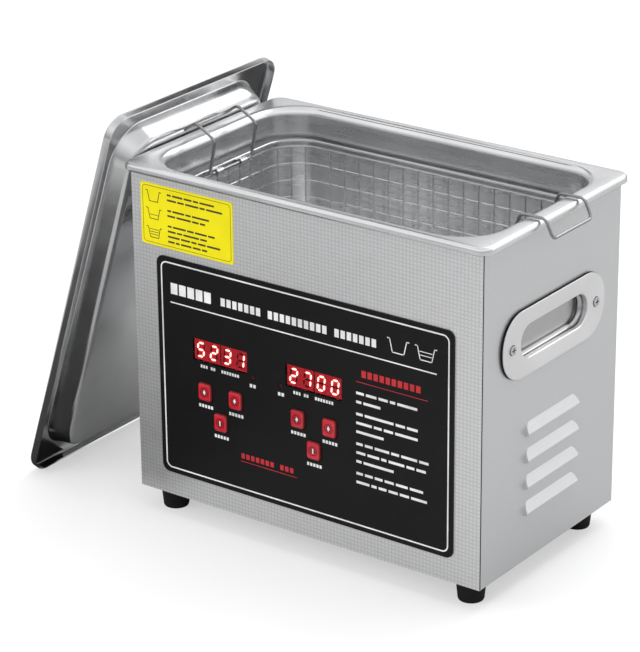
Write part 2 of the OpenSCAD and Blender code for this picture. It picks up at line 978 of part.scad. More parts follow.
// Flat ribbon from the control board down and back to the generator board
module ribbon_cable() {
    y0 = control_board_y + board_t;
    z0 = control_board_z - 28;
    width = 20;
    t = 0.9;
    color([0.7, 0.7, 0.72])
        translate([-58, 0, 0])
            rotate([90, 0, 90])
                linear_extrude(width)
                    polygon([[y0, z0], [y0 + 6, z0 - 3], [y0 + 9, z0 - 10], [y0 + 9, generator_top + 4],
                        [y0 + 11, generator_top], [y0 + 20, generator_top], [y0 + 20, generator_top + t],
                        [y0 + 11 + t, generator_top + t], [y0 + 9 + t, generator_top + 4],
                        [y0 + 9 + t, z0 - 10], [y0 + 7, z0 - 3 + t], [y0, z0 + t]]);
}

module internal_leads() {
    lead_r = 1.1;
    color([0.8, 0.1, 0.1])
        for (side = [-1, 1])
            wire([[side * transducer_x, 30.5 + lead_r, lower_electrode - 1.4],
                [side * transducer_x, 30.5 + lead_r, 60],
                [side * 28, 36, 58],
                [side * 28, 36, generator_top + 0.2]], lead_r, 8);
    color([0.1, 0.2, 0.7])
        wire([[inlet_at[0] - 6, 54.8, inlet_at[1]],
            [inlet_at[0] - 6, 46, inlet_at[1]],
            [inlet_at[0] - 6, 46, rocker_at[1] - 4],
            [inlet_at[0] - 6, 60.8, rocker_at[1] - 4]], lead_r, 8);
    color([0.45, 0.25, 0.1])
        wire([[inlet_at[0] + 6, 54.8, inlet_at[1]],
            [inlet_at[0] + 6, 44, inlet_at[1]],
            [-56, 34, generator_top + 10],
            [-56, 34, generator_top + 0.2]], lead_r, 8);
}

// Lid --------------------------------------------------------------------------------------------

// Stands the flat lid on its left end and leans it over towards the tank's rim
module stand_lid() {
    translate([lid_foot_x, lid_set_back, lid_lip * sin(lid_tilt)])
        rotate([0, lid_tilt - 90, 0])
            translate([lid_w / 2, 0, 0])
                children();
}

module lid_shell() {
    steps = 3;
    step_h = (pan_depth - lid_t) / steps;
    color([0.82, 0.83, 0.84])
        stand_lid()
            difference() {
                union() {
                    block(lid_w, lid_d, lid_corner, -lid_lip, lid_lip);
                    for (i = [0:steps - 1])
                        block(pan_w - i * pan_draft, pan_d - i * pan_draft, pan_corner - i,
                            -lid_t - (i + 1) * step_h, step_h + lid_t);
                }
                difference() {
                    block(lid_w - 2 * lid_t, lid_d - 2 * lid_t, lid_corner - lid_t, -lid_lip - through,
                        lid_lip + through - lid_t);
                    block(pan_w, pan_d, pan_corner, -lid_lip - 2 * through, lid_lip + 2 * through);
                }
                for (i = [0:steps - 1])
                    block(pan_w - i * pan_draft - 2 * lid_t, pan_d - i * pan_draft - 2 * lid_t,
                        pan_corner - i - lid_t, -(i + 1) * step_h, step_h + through);
                for (side = [-1, 1])
                    translate([side * lid_handle_screw_x, 0, -pan_depth - through])
                        cylinder(h = 3, r = 2.2);
            }
}

module lid_handle() {
    floor_z = lid_t - pan_depth;
    top_z = lid_handle_rise;
    half = lid_handle_w / 2;
    t = 4;
    color([0.8, 0.8, 0.82])
        stand_lid()
            difference() {
                translate([0, lid_handle_strap / 2, 0])
                    rotate([90, 0, 0])
                        linear_extrude(lid_handle_strap)
                            polygon(concat(
                                [[-half, floor_z]],
                                [[-half, floor_z + t]],
                                [[-half + 17, floor_z + t]],
                                arc([-half + 27, top_z - 8], 8 + t / 2, 180, 90),
                                arc([half - 27, top_z - 8], 8 + t / 2, 90, 0),
                                [[half - 17, floor_z + t]],
                                [[half, floor_z + t]],
                                [[half, floor_z]],
                                [[half - 17 - t, floor_z]],
                                arc([half - 27, top_z - 8], 8 - t / 2, 0, 90),
                                arc([-half + 27, top_z - 8], 8 - t / 2, 90, 180),
                                [[-half + 17 + t, floor_z]]));
                for (side = [-1, 1])
                    translate([side * lid_handle_screw_x, 0, floor_z - through]) cylinder(h = 4, r = 2.05);
            }
}

module lid_handle_screws() {
    color([0.75, 0.75, 0.76])
        stand_lid()
            for (side = [-1, 1])
                translate([side * lid_handle_screw_x, 0, -pan_depth])
                    rotate([180, 0, 0])
                        screw(3.6, 1.4, 2, 3.6);
}

// Basket -----------------------------------------------------------------------------------------

module basket_rim() {
    inner = basket_w / 2 - rim_band_t;
    color([0.82, 0.82, 0.84])
        difference() {
            union() {
                band(basket_w, basket_d, basket_r, rim_band_t, basket_top - rim_band_h, rim_band_h);
                for (sx = [-1, 1])
                    for (sy = [-1, 1])
                        mirror([sx < 0 ? 1 : 0, 0, 0])
                            box([pivot_x - 2.2, sy * clip_y - clip_w / 2, pivot_z - 2.2],
                                [inner + rim_band_t / 2, sy * clip_y + clip_w / 2, pivot_z + 2.2]);
            }
            for (sx = [-1, 1])
                rod([sx * pivot_x, -20, pivot_z], 40, grip_wire_r + 0.06, "y");
        }
}

// Number of openings along a side, and the distance from one to the next
function mesh_cells(length) = floor(length / mesh_pitch);
function cell_step(length) = (length - mesh_wire) / mesh_cells(length);

// Whether a point lies inside a rounded rectangle centred on the origin
function past_corner(x, w, r) = max(abs(x) - w / 2 + r, 0);
function in_round_rect(x, y, w, d, r) = norm([past_corner(x, w, r), past_corner(y, d, r)]) <= r;

module straight_mesh(length, height) {
    across = cell_step(length);
    up = cell_step(height);
    difference() {
        translate([-length / 2, 0]) square([length, height]);
        for (i = [0:mesh_cells(length) - 1])
            for (j = [0:mesh_cells(height) - 1])
                translate([i * across + mesh_wire - length / 2, j * up + mesh_wire])
                    square([across - mesh_wire, up - mesh_wire]);
    }
}

// The floor's openings stop where they would cut into its rounded edge
module floor_mesh(w, d, r) {
    across = cell_step(w);
    up = cell_step(d);
    reach = [across, up] / 2;
    difference() {
        polygon(round_rect(w, d, r));
        for (i = [0:mesh_cells(w) - 1])
            for (j = [0:mesh_cells(d) - 1]) {
                at = [(i + 0.5) * across + (mesh_wire - w) / 2, (j + 0.5) * up + (mesh_wire - d) / 2];
                if (in_round_rect(abs(at[0]) + reach[0], abs(at[1]) + reach[1], w, d, r))
                    translate(at) square([across - mesh_wire, up - mesh_wire], center = true);
            }
    }
}

// A floor, four straight walls and four rounded corners, a hair apart from each other
module basket_mesh() {
    w = basket_w - 2 * rim_band_t;
    d = basket_d - 2 * rim_band_t;
    r = basket_r - rim_band_t;
    wall_z = basket_bottom + mesh_wire + hair;
    wall_h = mesh_top - wall_z;
    long = w - 2 * r - 2 * hair;
    short = d - 2 * r - 2 * hair;
    color([0.8, 0.8, 0.82]) {
        translate([0, 0, basket_bottom]) linear_extrude(mesh_wire) floor_mesh(w, d, r);
        for (turn = [0, 180])
            rotate(turn) {
                facing_front(-d / 2, mesh_wire)
                    translate([0, wall_z]) straight_mesh(long, wall_h);
                facing_side(w / 2 - mesh_wire, mesh_wire)
                    translate([0, wall_z]) straight_mesh(short, wall_h);
                for (side = [-1, 1])
                    mirror([0, side < 0 ? 1 : 0, 0])
                        translate([w / 2 - r, d / 2 - r, wall_z])
                            linear_extrude(wall_h)
                                polygon(concat(arc([0, 0], r, 0, 90), arc([0, 0], r - mesh_wire, 90, 0)));
            }
    }
}

// Closed wire loop: a pivot rod through the clips, two legs over the tank's rim and a grip outside
function grip_side() = [
    [pivot_x, pivot_z],
    [pivot_x + 8, rim_top + grip_wire_r + 0.4],
    [pivot_x + 25, rim_top + grip_wire_r + 0.4],
    [pivot_x + 30.2, pivot_z + 11.4]];

module basket_grip() {
    side = grip_side();
    near = [for (p = side) [p[0], -grip_half, p[1]]];
    far = [for (i = [3:-1:0]) [side[i][0], grip_half, side[i][1]]];
    color([0.8, 0.8, 0.82])
        wire(concat(near, far), grip_wire_r, 24, closed = true);
}

module right_basket_grip() {
    basket_grip();
}

module left_basket_grip() {
    translate([-pivot_x, 0, pivot_z])
        rotate([0, left_grip_swing, 0])
            translate([pivot_x, 0, -pivot_z])
                mirror([1, 0, 0])
                    basket_grip();
}

front_panel();
right_side_panel();
left_side_panel();
rear_panel();
base_plate();
base_screws();
tank();
rim_gasket();
control_overlay();
warning_sticker();
display_windows();
temperature_display();
timer_display();
indicator_leds();
control_board();
tact_switches();
board_standoffs();
board_screws();
temperature_up_button();
temperature_down_button();
heater_power_button();
time_up_button();
time_down_button();
timer_power_button();
right_handle_frame();
left_handle_frame();
right_handle_cup();
left_handle_cup();
handle_gaskets();
handle_screws();
rubber_feet();
foot_screws();
transducer_horns();
piezo_rings();
transducer_electrodes();
transducer_back_masses();
transducer_bolts();
heater_pads();
temperature_sensor();
generator_board();
heatsink();
power_transistors();
output_transformer();
filter_capacitors();
fan_frame();
fan_rotor();
fan_screws();
power_inlet();
inlet_screws();
rocker_housing();
rocker();
ribbon_cable();
internal_leads();
lid_shell();
lid_handle();
lid_handle_screws();
basket_rim();
basket_mesh();
right_basket_grip();
left_basket_grip();
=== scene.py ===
import json
import math

import bmesh
import bpy
from mathutils import Matrix, Vector


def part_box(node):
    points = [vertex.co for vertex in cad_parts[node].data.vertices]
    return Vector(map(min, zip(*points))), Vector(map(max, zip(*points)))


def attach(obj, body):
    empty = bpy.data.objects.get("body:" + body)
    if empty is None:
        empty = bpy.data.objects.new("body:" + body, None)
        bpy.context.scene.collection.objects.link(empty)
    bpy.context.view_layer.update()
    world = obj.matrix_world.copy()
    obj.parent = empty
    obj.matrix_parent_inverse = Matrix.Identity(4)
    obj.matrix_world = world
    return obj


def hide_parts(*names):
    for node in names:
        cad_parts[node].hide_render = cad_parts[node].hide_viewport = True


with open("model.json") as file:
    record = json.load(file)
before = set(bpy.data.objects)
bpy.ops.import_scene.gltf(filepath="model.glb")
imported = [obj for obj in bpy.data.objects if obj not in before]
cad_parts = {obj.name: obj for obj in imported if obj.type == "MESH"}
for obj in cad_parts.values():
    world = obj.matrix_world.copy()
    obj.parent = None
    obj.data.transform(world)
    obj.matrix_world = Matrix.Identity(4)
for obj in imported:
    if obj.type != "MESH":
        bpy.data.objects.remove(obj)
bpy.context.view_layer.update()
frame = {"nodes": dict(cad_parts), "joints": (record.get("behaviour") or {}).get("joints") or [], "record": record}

# Shapes are drawn in millimetres and stored in metres.
MM = 0.001
CORNER_STEPS = 10
SHEET = 0.8
HAIR = 0.04

# Camera: what it aims at, and from where
AIM = (-47.6, 8.2, 114.3)
AZIMUTH = 36.31
ELEVATION = 22.38
ROLL = -0.557
DISTANCE = 1850
LENS = 162.97
SENSOR = 36

# Local axes (across, up, out) turned to the front and to the two sides of the casing
FRONT = Matrix(((1, 0, 0, 0), (0, 0, -1, 0), (0, 1, 0, 0), (0, 0, 0, 1)))
RIGHT = Matrix(((0, 0, 1, 0), (1, 0, 0, 0), (0, 1, 0, 0), (0, 0, 0, 1)))
SIDES = {"right": RIGHT, "left": Matrix.Rotation(math.pi, 4, "Z") @ RIGHT}

# Printed front: the middles of the two groups of keys, and each key's size and icon
GROUP_X = (-61.6, 8.9)
KEY_SIZE = (10.4, 12)
KEY_ICONS = {
    "temperature_up_button": "diamond",
    "temperature_down_button": "diamond",
    "heater_power_button": "bar",
    "time_up_button": "diamond",
    "time_down_button": "diamond",
    "timer_power_button": "bar",
}

# Weave of the front and side sheets, from groove to groove
EMBOSS_PITCH = 2.5

# Lid: how it leans, and its size when flat
LID_TILT = math.radians(17.4)
LID_SIZE = (268, 166)
LID_CORNER = 14
LID_RIM = 12
LID_LIP = 6
PAN_DEPTH = 14.4

# Side handles: the opening, and the distance between the two screws
OPENING = (73.5, 21)
OPENING_CORNER = 10.3
HANDLE_SCREW_SPAN = 92

# Basket: radius of its wires, and the clips and grips on its rim
MESH_WIRE = 0.45
CLIP_Y = (-15, 9)
CLIP_WIDTH = 6
CLIP_RADII = (2.1, 1.15)
GRIP_HALF = 21
GRIP_WIRE = 1
LEFT_GRIP_SWING = math.radians(31)

# Signs of x and y in the four corners
QUADRANTS = ((-1, -1), (-1, 1), (1, -1), (1, 1))


def corners(node):
    """Lowest and highest corner of a CAD node, in millimetres."""
    low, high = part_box(node)
    return low / MM, high / MM


# Outlines ------------------------------------------------------------------------------------

def arc(centre, radius, start, end, steps=CORNER_STEPS):
    turns = [math.radians(start + (end - start) * i / steps) for i in range(steps + 1)]
    return [(centre[0] + radius * math.cos(t), centre[1] + radius * math.sin(t)) for t in turns]


def rounded_rect(width, depth, radius, steps=CORNER_STEPS):
    x, y = width / 2 - radius, depth / 2 - radius
    outline = []
    for turn, sx, sy in ((0, 1, 1), (90, -1, 1), (180, -1, -1), (270, 1, -1)):
        outline += arc((sx * x, sy * y), radius, turn, turn + 90, steps)
    return outline


def circle(radius, steps=32):
    return arc((0, 0), radius, 0, 360 - 360 / steps, steps - 1)


def at_height(outline, height, shift=(0, 0)):
    return [(x + shift[0], y + shift[1], height) for x, y in outline]


def stepped(steps, shift=(0, 0), corner_steps=CORNER_STEPS):
    """Rings for a loft, from steps of (size, corner radius, growth all round, height)."""
    rings = []
    for (width, depth), radius, by, height in steps:
        outline = rounded_rect(width + 2 * by, depth + 2 * by, max(radius + by, 1), corner_steps)
        rings.append(at_height(outline, height, shift))
    return rings


def soften(points, radius, closed=False, steps=6):
    """Rounds each corner of a line through points, by less than half of the shorter side next to it."""
    points = [Vector(p) for p in points]
    count = len(points)
    smooth = []
    for i, corner in enumerate(points):
        if not closed and i in (0, count - 1):
            smooth.append(corner)
            continue
        before, after = points[i - 1] - corner, points[(i + 1) % count] - corner
        reach = min(radius, before.length / 2.1, after.length / 2.1)
        a, b = corner + before.normalized() * reach, corner + after.normalized() * reach
        for k in range(steps + 1):
            t = k / steps
            smooth.append(a * (1 - t) ** 2 + corner * 2 * t * (1 - t) + b * t ** 2)
    return smooth


class Shape:
    """Shells collected into one mesh, drawn in millimetres in local axes."""

    def __init__(self, axes=None):
        self.axes = axes or Matrix.Identity(4)
        self.points = []
        self.faces = []
        self.finishes = []

    def add(self, points, faces, finish=0):
        first = len(self.points)
        self.points += [self.axes @ Vector(p) for p in points]
        self.faces += [[first + i for i in face] for face in faces]
        self.finishes += [finish] * len(faces)

    def loft(self, rings, closed=False, caps=(True, True), finish=0):
        """Joins rings that have the same number of points. A closed loft returns to its first ring."""
        count = len(rings[0])
        faces = []
        for k in range(len(rings) if closed else len(rings) - 1):
            a, b = k * count, (k + 1) % len(rings) * count
            for i in range(count):
                j = (i + 1) % count
                faces.append([a + i, a + j, b + j, b + i])
        last = (len(rings) - 1) * count
        if not closed and caps[0]:
            faces.append(list(range(count))[::-1])
        if not closed and caps[1]:
            faces.append([last + i for i in range(count)])
        self.add([p for ring in rings for p in ring], faces, finish)

    def slab(self, outline, low, high, shift=(0, 0), finish=0):
        self.loft([at_height(outline, low, shift), at_height(outline, high, shift)], finish=finish)

    def bar(self, left, bottom, right, top, low, high, finish=0):
        outline = [(left, bottom), (right, bottom), (right, top), (left, top)]
        self.slab(outline, low, high, finish=finish)

    def line(self, start, end, width, low, high):
        along = (Vector(end) - Vector(start)).normalized() * width / 2
        across = Vector((-along.y, along.x))
        a, b = Vector(start) - along, Vector(end) + along
        self.slab([a + across, a - across, b - across, b + across], low, high)

    def frame(self, size, radius, width, low, high, shift=(0, 0)):
        """A flat rounded frame, its outer edge of the given size."""
        outer = rounded_rect(*size, radius)
        inner = rounded_rect(size[0] - 2 * width, size[1] - 2 * width, max(radius - width, 0.1))
        self.loft([at_height(outer, low, shift), at_height(outer, high, shift),
                   at_height(inner, high, shift), at_height(inner, low, shift)], closed=True)

    def sweep(self, path, section, closed=False, side=None):
        """Carries a section, given as (sideways, upwards) points, along a path."""
        path = [Vector(p) for p in path]
        count = len(path)
        rings = []
        across = Vector(side) if side else None
        for i, point in enumerate(path):
            before = path[i - 1] if closed or i else point
            after = path[(i + 1) % count] if closed or i < count - 1 else point
            along = (after - before).normalized()
            if across is None:
                across = along.orthogonal()
            across = (across - along * across.dot(along)).normalized()
            up = along.cross(across)
            rings.append([point + across * u + up * v for u, v in section])
        self.loft(rings, closed=closed)

    def tube(self, path, radius, sides=10, closed=False):
        self.sweep(path, circle(radius, sides), closed)

    def lathe(self, profile, shift):
        self.loft([at_height(circle(radius, 48), z, shift) for radius, z in profile], closed=True)

    def build(self, name, sharp=35, fix_normals=True):
        mesh = bpy.data.meshes.new(name)
        mesh.from_pydata([p * MM for p in self.points], [], self.faces)
        mesh.polygons.foreach_set("material_index", self.finishes)
        if fix_normals:
            work = bmesh.new()
            work.from_mesh(mesh)
            bmesh.ops.recalc_face_normals(work, faces=work.faces)
            work.to_mesh(mesh)
            work.free()
        mesh.shade_smooth()
        mesh.set_sharp_from_angle(angle=math.radians(sharp))
        return linked(name, mesh)


def linked(name, data):
    """A new object in the scene."""
    made = bpy.data.objects.new(name, data)
    bpy.context.scene.collection.objects.link(made)
    return made


def place(piece, body, slot, replaces=(), finishes=()):
    """Gives a piece its body and its finishes, and hides the CAD nodes that it stands for.

    A piece without finishes of its own takes the one of its slot.
    """
    for finish in finishes or [FINISHES[slot]]:
        piece.data.materials.append(finish.material)
    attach(piece, body)
    if replaces:
        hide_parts(*replaces)


def thicken(piece, thickness):
    """Gives an open sheet its thickness, on the side that its faces point to."""
    solid = piece.modifiers.new("sheet", "SOLIDIFY")
    solid.thickness = thickness * MM
    solid.offset = 1
    solid.use_even_offset = True
    bpy.context.view_layer.objects.active = piece
    bpy.ops.object.modifier_apply(modifier=solid.name)
    piece.data.set_sharp_from_angle(angle=math.radians(50))


# Finishes ------------------------------------------------------------------------------------

class Finish:
    """A procedural material whose patterns follow the object's own coordinates, in metres."""

    def __init__(self, name, color, metallic=0.0, roughness=0.5, **constants):
        self.name = name
        self.material = bpy.data.materials.new(name)
        self.material.use_nodes = True
        self.tree = self.material.node_tree
        self.shader = self.tree.nodes["Principled BSDF"]
        self.color = color
        self.where = self.node("ShaderNodeTexCoord").outputs["Object"]
        sockets = self.shader.inputs
        sockets["Base Color"].default_value = (*color, 1)
        sockets["Metallic"].default_value = metallic
        sockets["Roughness"].default_value = roughness
        for key, value in constants.items():
            sockets[key.replace("_", " ").title().replace("Ior", "IOR")].default_value = value

    def node(self, kind, **settings):
        made = self.tree.nodes.new(kind)
        for key, value in settings.items():
            setattr(made, key, value)
        return made

    def link(self, output, target):
        self.tree.links.new(output, target)

    def noise(self, scale, detail):
        """Noise with its own scale along each axis, in features per metre."""
        mapping = self.node("ShaderNodeMapping")
        mapping.inputs["Scale"].default_value = scale if isinstance(scale, tuple) else (scale,) * 3
        noise = self.node("ShaderNodeTexNoise")
        noise.inputs["Scale"].default_value = 1
        noise.inputs["Detail"].default_value = detail
        self.link(self.where, mapping.inputs["Vector"])
        self.link(mapping.outputs["Vector"], noise.inputs["Vector"])
        return noise.outputs["Fac"]

    def math(self, operation, a, b=0.0):
        made = self.node("ShaderNodeMath", operation=operation)
        for value, target in ((a, made.inputs[0]), (b, made.inputs[1])):
            if isinstance(value, (int, float)):
                target.default_value = value
            else:
                self.link(value, target)
        return made.outputs[0]

    def axis(self, letter):
        split = self.node("ShaderNodeSeparateXYZ")
        self.link(self.where, split.inputs[0])
        return split.outputs[letter]

    def cells(self, letters, pitch):
        """Small pillows in a square grid: 0 in the grooves and 1 on top."""
        waves = []
        for letter in letters:
            angle = self.math("MULTIPLY", self.axis(letter), math.pi / (pitch * MM))
            waves.append(self.math("ABSOLUTE", self.math("SINE", angle)))
        return self.math("MINIMUM", *waves)

    def tint(self, factor, dark, light, low=0.35, high=0.65):
        """Colours the surface between two multiples of its colour."""
        ramp = self.node("ShaderNodeValToRGB")
        for stop, position, share in zip(ramp.color_ramp.elements, (low, high), (dark, light)):
            stop.position = position
            stop.color = (*[min(c * share, 1) for c in self.color], 1)
        self.link(factor, ramp.inputs["Fac"])
        self.link(ramp.outputs["Color"], self.shader.inputs["Base Color"])

    def spread(self, factor, socket, low, high):
        span = self.node("ShaderNodeMapRange")
        span.inputs["To Min"].default_value = low
        span.inputs["To Max"].default_value = high
        self.link(factor, span.inputs["Value"])
        self.link(span.outputs["Result"], self.shader.inputs[socket])

    def bump(self, height, depth, strength):
        made = self.node("ShaderNodeBump")
        made.inputs["Strength"].default_value = strength
        made.inputs["Distance"].default_value = depth * MM
        self.link(height, made.inputs["Height"])
        self.link(made.outputs["Normal"], self.shader.inputs["Normal"])


def embossed_steel(name, color, letters, relief, shade):
    """Sheet rolled with a fine square weave, with painted shade in its grooves."""
    steel = Finish(name, color, metallic=0.85, roughness=0.4)
    grid = steel.cells(letters, EMBOSS_PITCH)
    drift = steel.noise(300, 4)
    # Painted shade: the weave's grooves darker and its pillows lighter, mixed with a random drift in tone
    steel.tint(steel.math("ADD", steel.math("MULTIPLY", grid, 0.7), steel.math("MULTIPLY", drift, 0.3)),
               *shade, low=0.1, high=0.75)
    steel.spread(steel.noise(90, 3), "Roughness", 0.34, 0.48)
    steel.bump(grid, relief, 0.6)
    return steel


def brushed_steel(name, color, roughness, stretch, relief=0.006, metallic=1.0):
    """Sheet with fine lines along one direction and a slow change in tone."""
    steel = Finish(name, color, metallic=metallic, roughness=roughness)
    lines = steel.noise(stretch, 2)
    steel.tint(steel.noise(18, 4), 0.93, 1.05, 0.3, 0.7)
    steel.spread(lines, "Roughness", roughness * 0.8, roughness * 1.25)
    steel.bump(lines, relief, 0.35)
    return steel


def bright_steel(name, color, roughness):
    """Polished steel with faint smears."""
    steel = Finish(name, color, metallic=1.0, roughness=roughness)
    steel.tint(steel.noise(25, 3), 0.94, 1.04)
    steel.spread(steel.noise(45, 5), "Roughness", roughness * 0.6, roughness * 1.6)
    steel.bump(steel.noise(1500, 2), 0.003, 0.3)
    return steel


def moulded(name, color, roughness, grain=0.02, drift=0.15, **constants):
    """Plastic or rubber with a fine moulded grain and a slight change in tone."""
    plastic = Finish(name, color, roughness=roughness, **constants)
    plastic.tint(plastic.noise(60, 3), 1 - drift, 1 + drift)
    plastic.spread(plastic.noise(220, 3), "Roughness", roughness * 0.88, min(roughness * 1.14, 1))
    plastic.bump(plastic.noise(1800, 3), grain, 0.4)
    return plastic


def glowing(name, color, glow, strength):
    """A lit face, a little uneven."""
    lit = Finish(name, color, roughness=0.5)
    lit.shader.inputs["Emission Color"].default_value = (*glow, 1)
    lit.tint(lit.noise(400, 2), 0.8, 1.1)
    lit.spread(lit.noise(250, 2), "Emission Strength", strength * 0.85, strength * 1.15)
    return lit


def tinted_window():
    """A faintly red pane."""
    window = Finish("window_red", (0.92, 0.6, 0.6), roughness=0.04, transmission_weight=1.0, ior=1.05)
    window.tint(window.noise(120, 2), 0.97, 1.02)
    window.spread(window.noise(300, 2), "Roughness", 0.02, 0.07)
    return window


# One for each slot in the record
FINISHES = {finish.name: finish for finish in (
    embossed_steel("embossed_steel", (0.9, 0.905, 0.91), "XZ", 0.08, (0.84, 1.06)),
    embossed_steel("side_steel", (0.73, 0.735, 0.74), "YZ", 0.012, (0.975, 1.015)),
    brushed_steel("base_steel", (0.5, 0.51, 0.52), 0.45, (30, 400, 30)),
    bright_steel("screw_steel", (0.66, 0.66, 0.67), 0.25),
    brushed_steel("tank_steel", (0.84, 0.845, 0.85), 0.27, (15, 15, 260), 0.001),
    moulded("black_rubber", (0.009, 0.009, 0.009), 0.75, 0.04, specular_ior_level=0.3),
    moulded("overlay_black", (0.004, 0.004, 0.0045), 0.5, 0.006, specular_ior_level=0.28),
    moulded("sticker_yellow", (0.96, 0.84, 0.006), 0.5, 0.006, 0.03, specular_ior_level=0.2),
    tinted_window(),
    moulded("display_black", (0.02, 0.006, 0.006), 0.5, 0.01),
    moulded("lamp_red", (0.04, 0.004, 0.004), 0.3, 0.004, coat_weight=0.3),
    moulded("board_green", (0.02, 0.16, 0.06), 0.4, 0.02, coat_weight=0.3),
    moulded("black_plastic", (0.022, 0.022, 0.023), 0.5, 0.03),
    bright_steel("standoff_brass", (0.72, 0.54, 0.26), 0.3),
    moulded("button_red", (0.62, 0.012, 0.03), 0.26, 0.006, coat_weight=0.35),
    brushed_steel("handle_steel", (0.84, 0.84, 0.845), 0.32, (30, 25, 400), 0.004, 0.55),
    brushed_steel("cast_aluminium", (0.72, 0.72, 0.73), 0.42, (300, 300, 60), 0.02),
    moulded("piezo_ceramic", (0.62, 0.56, 0.42), 0.7, 0.02),
    brushed_steel("copper", (0.8, 0.42, 0.24), 0.28, (200, 60, 60)),
    brushed_steel("dark_steel", (0.22, 0.22, 0.23), 0.5, (200, 200, 80), 0.03),
    moulded("heater_silicone", (0.6, 0.2, 0.06), 0.7, 0.05),
    moulded("sensor_white", (0.7, 0.7, 0.66), 0.5),
    moulded("capacitor_blue", (0.03, 0.05, 0.2), 0.28, 0.01, coat_weight=0.4),
    moulded("cable_grey", (0.45, 0.45, 0.47), 0.5, 0.03),
    moulded("cable_red", (0.5, 0.02, 0.02), 0.4, 0.02),
    bright_steel("lid_steel", (0.72, 0.725, 0.73), 0.18),
    bright_steel("basket_wire", (0.62, 0.62, 0.63), 0.2),
)}

# Others, for pieces and details that differ from their slot
# A darker, glossier copy of the handle steel: painted shade for the finger recesses
CUP_STEEL_PAINTED_SHADE = brushed_steel("cup_steel_painted_shade", (0.52, 0.52, 0.525), 0.2, (30, 25, 400), 0.003)
# A darker copy of the basket wire for the grips: painted shade
GRIP_STEEL_PAINTED_SHADE = bright_steel("grip_steel_painted_shade", (0.36, 0.36, 0.365), 0.2)
# Near black for the handle screws: painted shade in their cross recesses and round their heads
PAINTED_RECESS_SHADE = moulded("painted_recess_shade", (0.02, 0.02, 0.02), 0.6, 0.004)
PRINT_WHITE = moulded("print_white", (0.86, 0.86, 0.86), 0.45, 0.004)
PRINT_RED = moulded("print_red", (0.55, 0.02, 0.03), 0.45, 0.004)
PRINT_DARK = moulded("print_dark", (0.05, 0.04, 0.02), 0.5, 0.004)
# Dark red: printed rings on the keys, and painted shade on their sides
KEY_INK_AND_SIDE_SHADE = moulded("key_ink_and_side_shade", (0.12, 0.004, 0.004), 0.35, 0.004)
BLADE_BRASS = bright_steel("blade_brass", (0.78, 0.7, 0.5), 0.22)
SEGMENT_LIT = glowing("segment_lit", (1.0, 0.8, 0.7), (1.0, 0.8, 0.62), 3.2)
SEGMENT_HALO = glowing("segment_halo", (0.6, 0.05, 0.07), (1.0, 0.11, 0.16), 0.75)
SEGMENT_DARK = moulded("segment_dark", (0.05, 0.01, 0.012), 0.5, 0.004)
GLOW_BACK = glowing("glow_back", (0.3, 0.02, 0.03), (1.0, 0.07, 0.11), 0.2)


def finish_frame():
    """Every CAD node takes the finish of its slot in the record."""
    for part in frame["record"]["subparts"]:
        node = frame["nodes"][part["node"]]
        finish = FINISHES[part["material_slot"]].material
        if not node.material_slots:
            node.data.materials.append(finish)
        for slot in node.material_slots:
            slot.material = finish


# Pressed steel: the tank and the lid -----------------------------------------------------------

def pressed_sheet(name, rings, axes=None):
    """A sheet pressed through rings, from its middle outwards."""
    shape = Shape(axes)
    shape.loft(rings, caps=(True, False))
    piece = shape.build(name, fix_normals=False)
    thicken(piece, SHEET)
    return piece


def tank_shell():
    """Rounded floor, straight walls and a rim that rolls over the casing."""
    low, high = corners("tank")
    rim = (high.x - low.x, high.y - low.y)
    wall, wall_r, rim_r = (238, 139), 27, 9
    floor, top = low.z + SHEET, high.z
    floor_r, mouth_r, edge_r = 12, 5, 2.4
    steps = [(wall, wall_r, by - floor_r, floor + z) for by, z in arc((0, floor_r), floor_r, -90, 0, 6)]
    steps += [(wall, wall_r, 0, floor + floor_r + share * (top - floor - floor_r - mouth_r))
              for share in (0.3, 0.6, 0.9)]
    steps += [(wall, wall_r, mouth_r + by, top - mouth_r + z)
              for by, z in arc((0, 0), mouth_r, 180, 90, 6)]
    steps += [(rim, rim_r, by - edge_r, top - edge_r + z) for by, z in arc((0, 0), edge_r, 90, 0, 5)]
    steps += [(rim, rim_r, 0, top - 3.4), (rim, rim_r, 0, top - 4.1), (rim, rim_r, -0.35, top - 4.45)]
    place(pressed_sheet("tank_shell", stepped(steps)), "cleaner", "tank_steel", ["tank"])


def lid_axes():
    """Stands the flat lid on its left end and leans it towards the tank's rim."""
    low, high = corners("lid_shell")
    lift = Matrix.Translation((low.x, (low.y + high.y) / 2, LID_LIP * math.sin(LID_TILT)))
    lean = Matrix.Rotation(LID_TILT - math.pi / 2, 4, "Y")
    return lift @ lean @ Matrix.Translation((LID_SIZE[0] / 2, 0, 0))


def lid_pan():
    """A shallow pan with sloping walls, a flat rim round it and a lip turned down."""
    pan, pan_r = (LID_SIZE[0] - 2 * LID_RIM, LID_SIZE[1] - 2 * LID_RIM), 24
    draft, floor_r, brim_r, brim_inset, edge_r = 4, 4.5, 2, 1, 2
    steps = [(pan, pan_r, by - draft - floor_r, z - PAN_DEPTH)
             for by, z in arc((0, floor_r), floor_r, -90, -20, 7)]
    steps += [(pan, pan_r, brim_r + by - brim_inset, z - brim_r)
              for by, z in arc((0, 0), brim_r, 160, 90, 6)]
    steps += [(LID_SIZE, LID_CORNER, by - edge_r, z - edge_r)
              for by, z in arc((0, 0), edge_r, 90, 0, 6)]
    steps += [(LID_SIZE, LID_CORNER, by, z - LID_LIP) for by, z in ((0, 0.6), (0, 0.25), (-0.3, 0))]
    place(pressed_sheet("lid_pan", stepped(steps), lid_axes()), "lid", "lid_steel", ["lid_shell"])


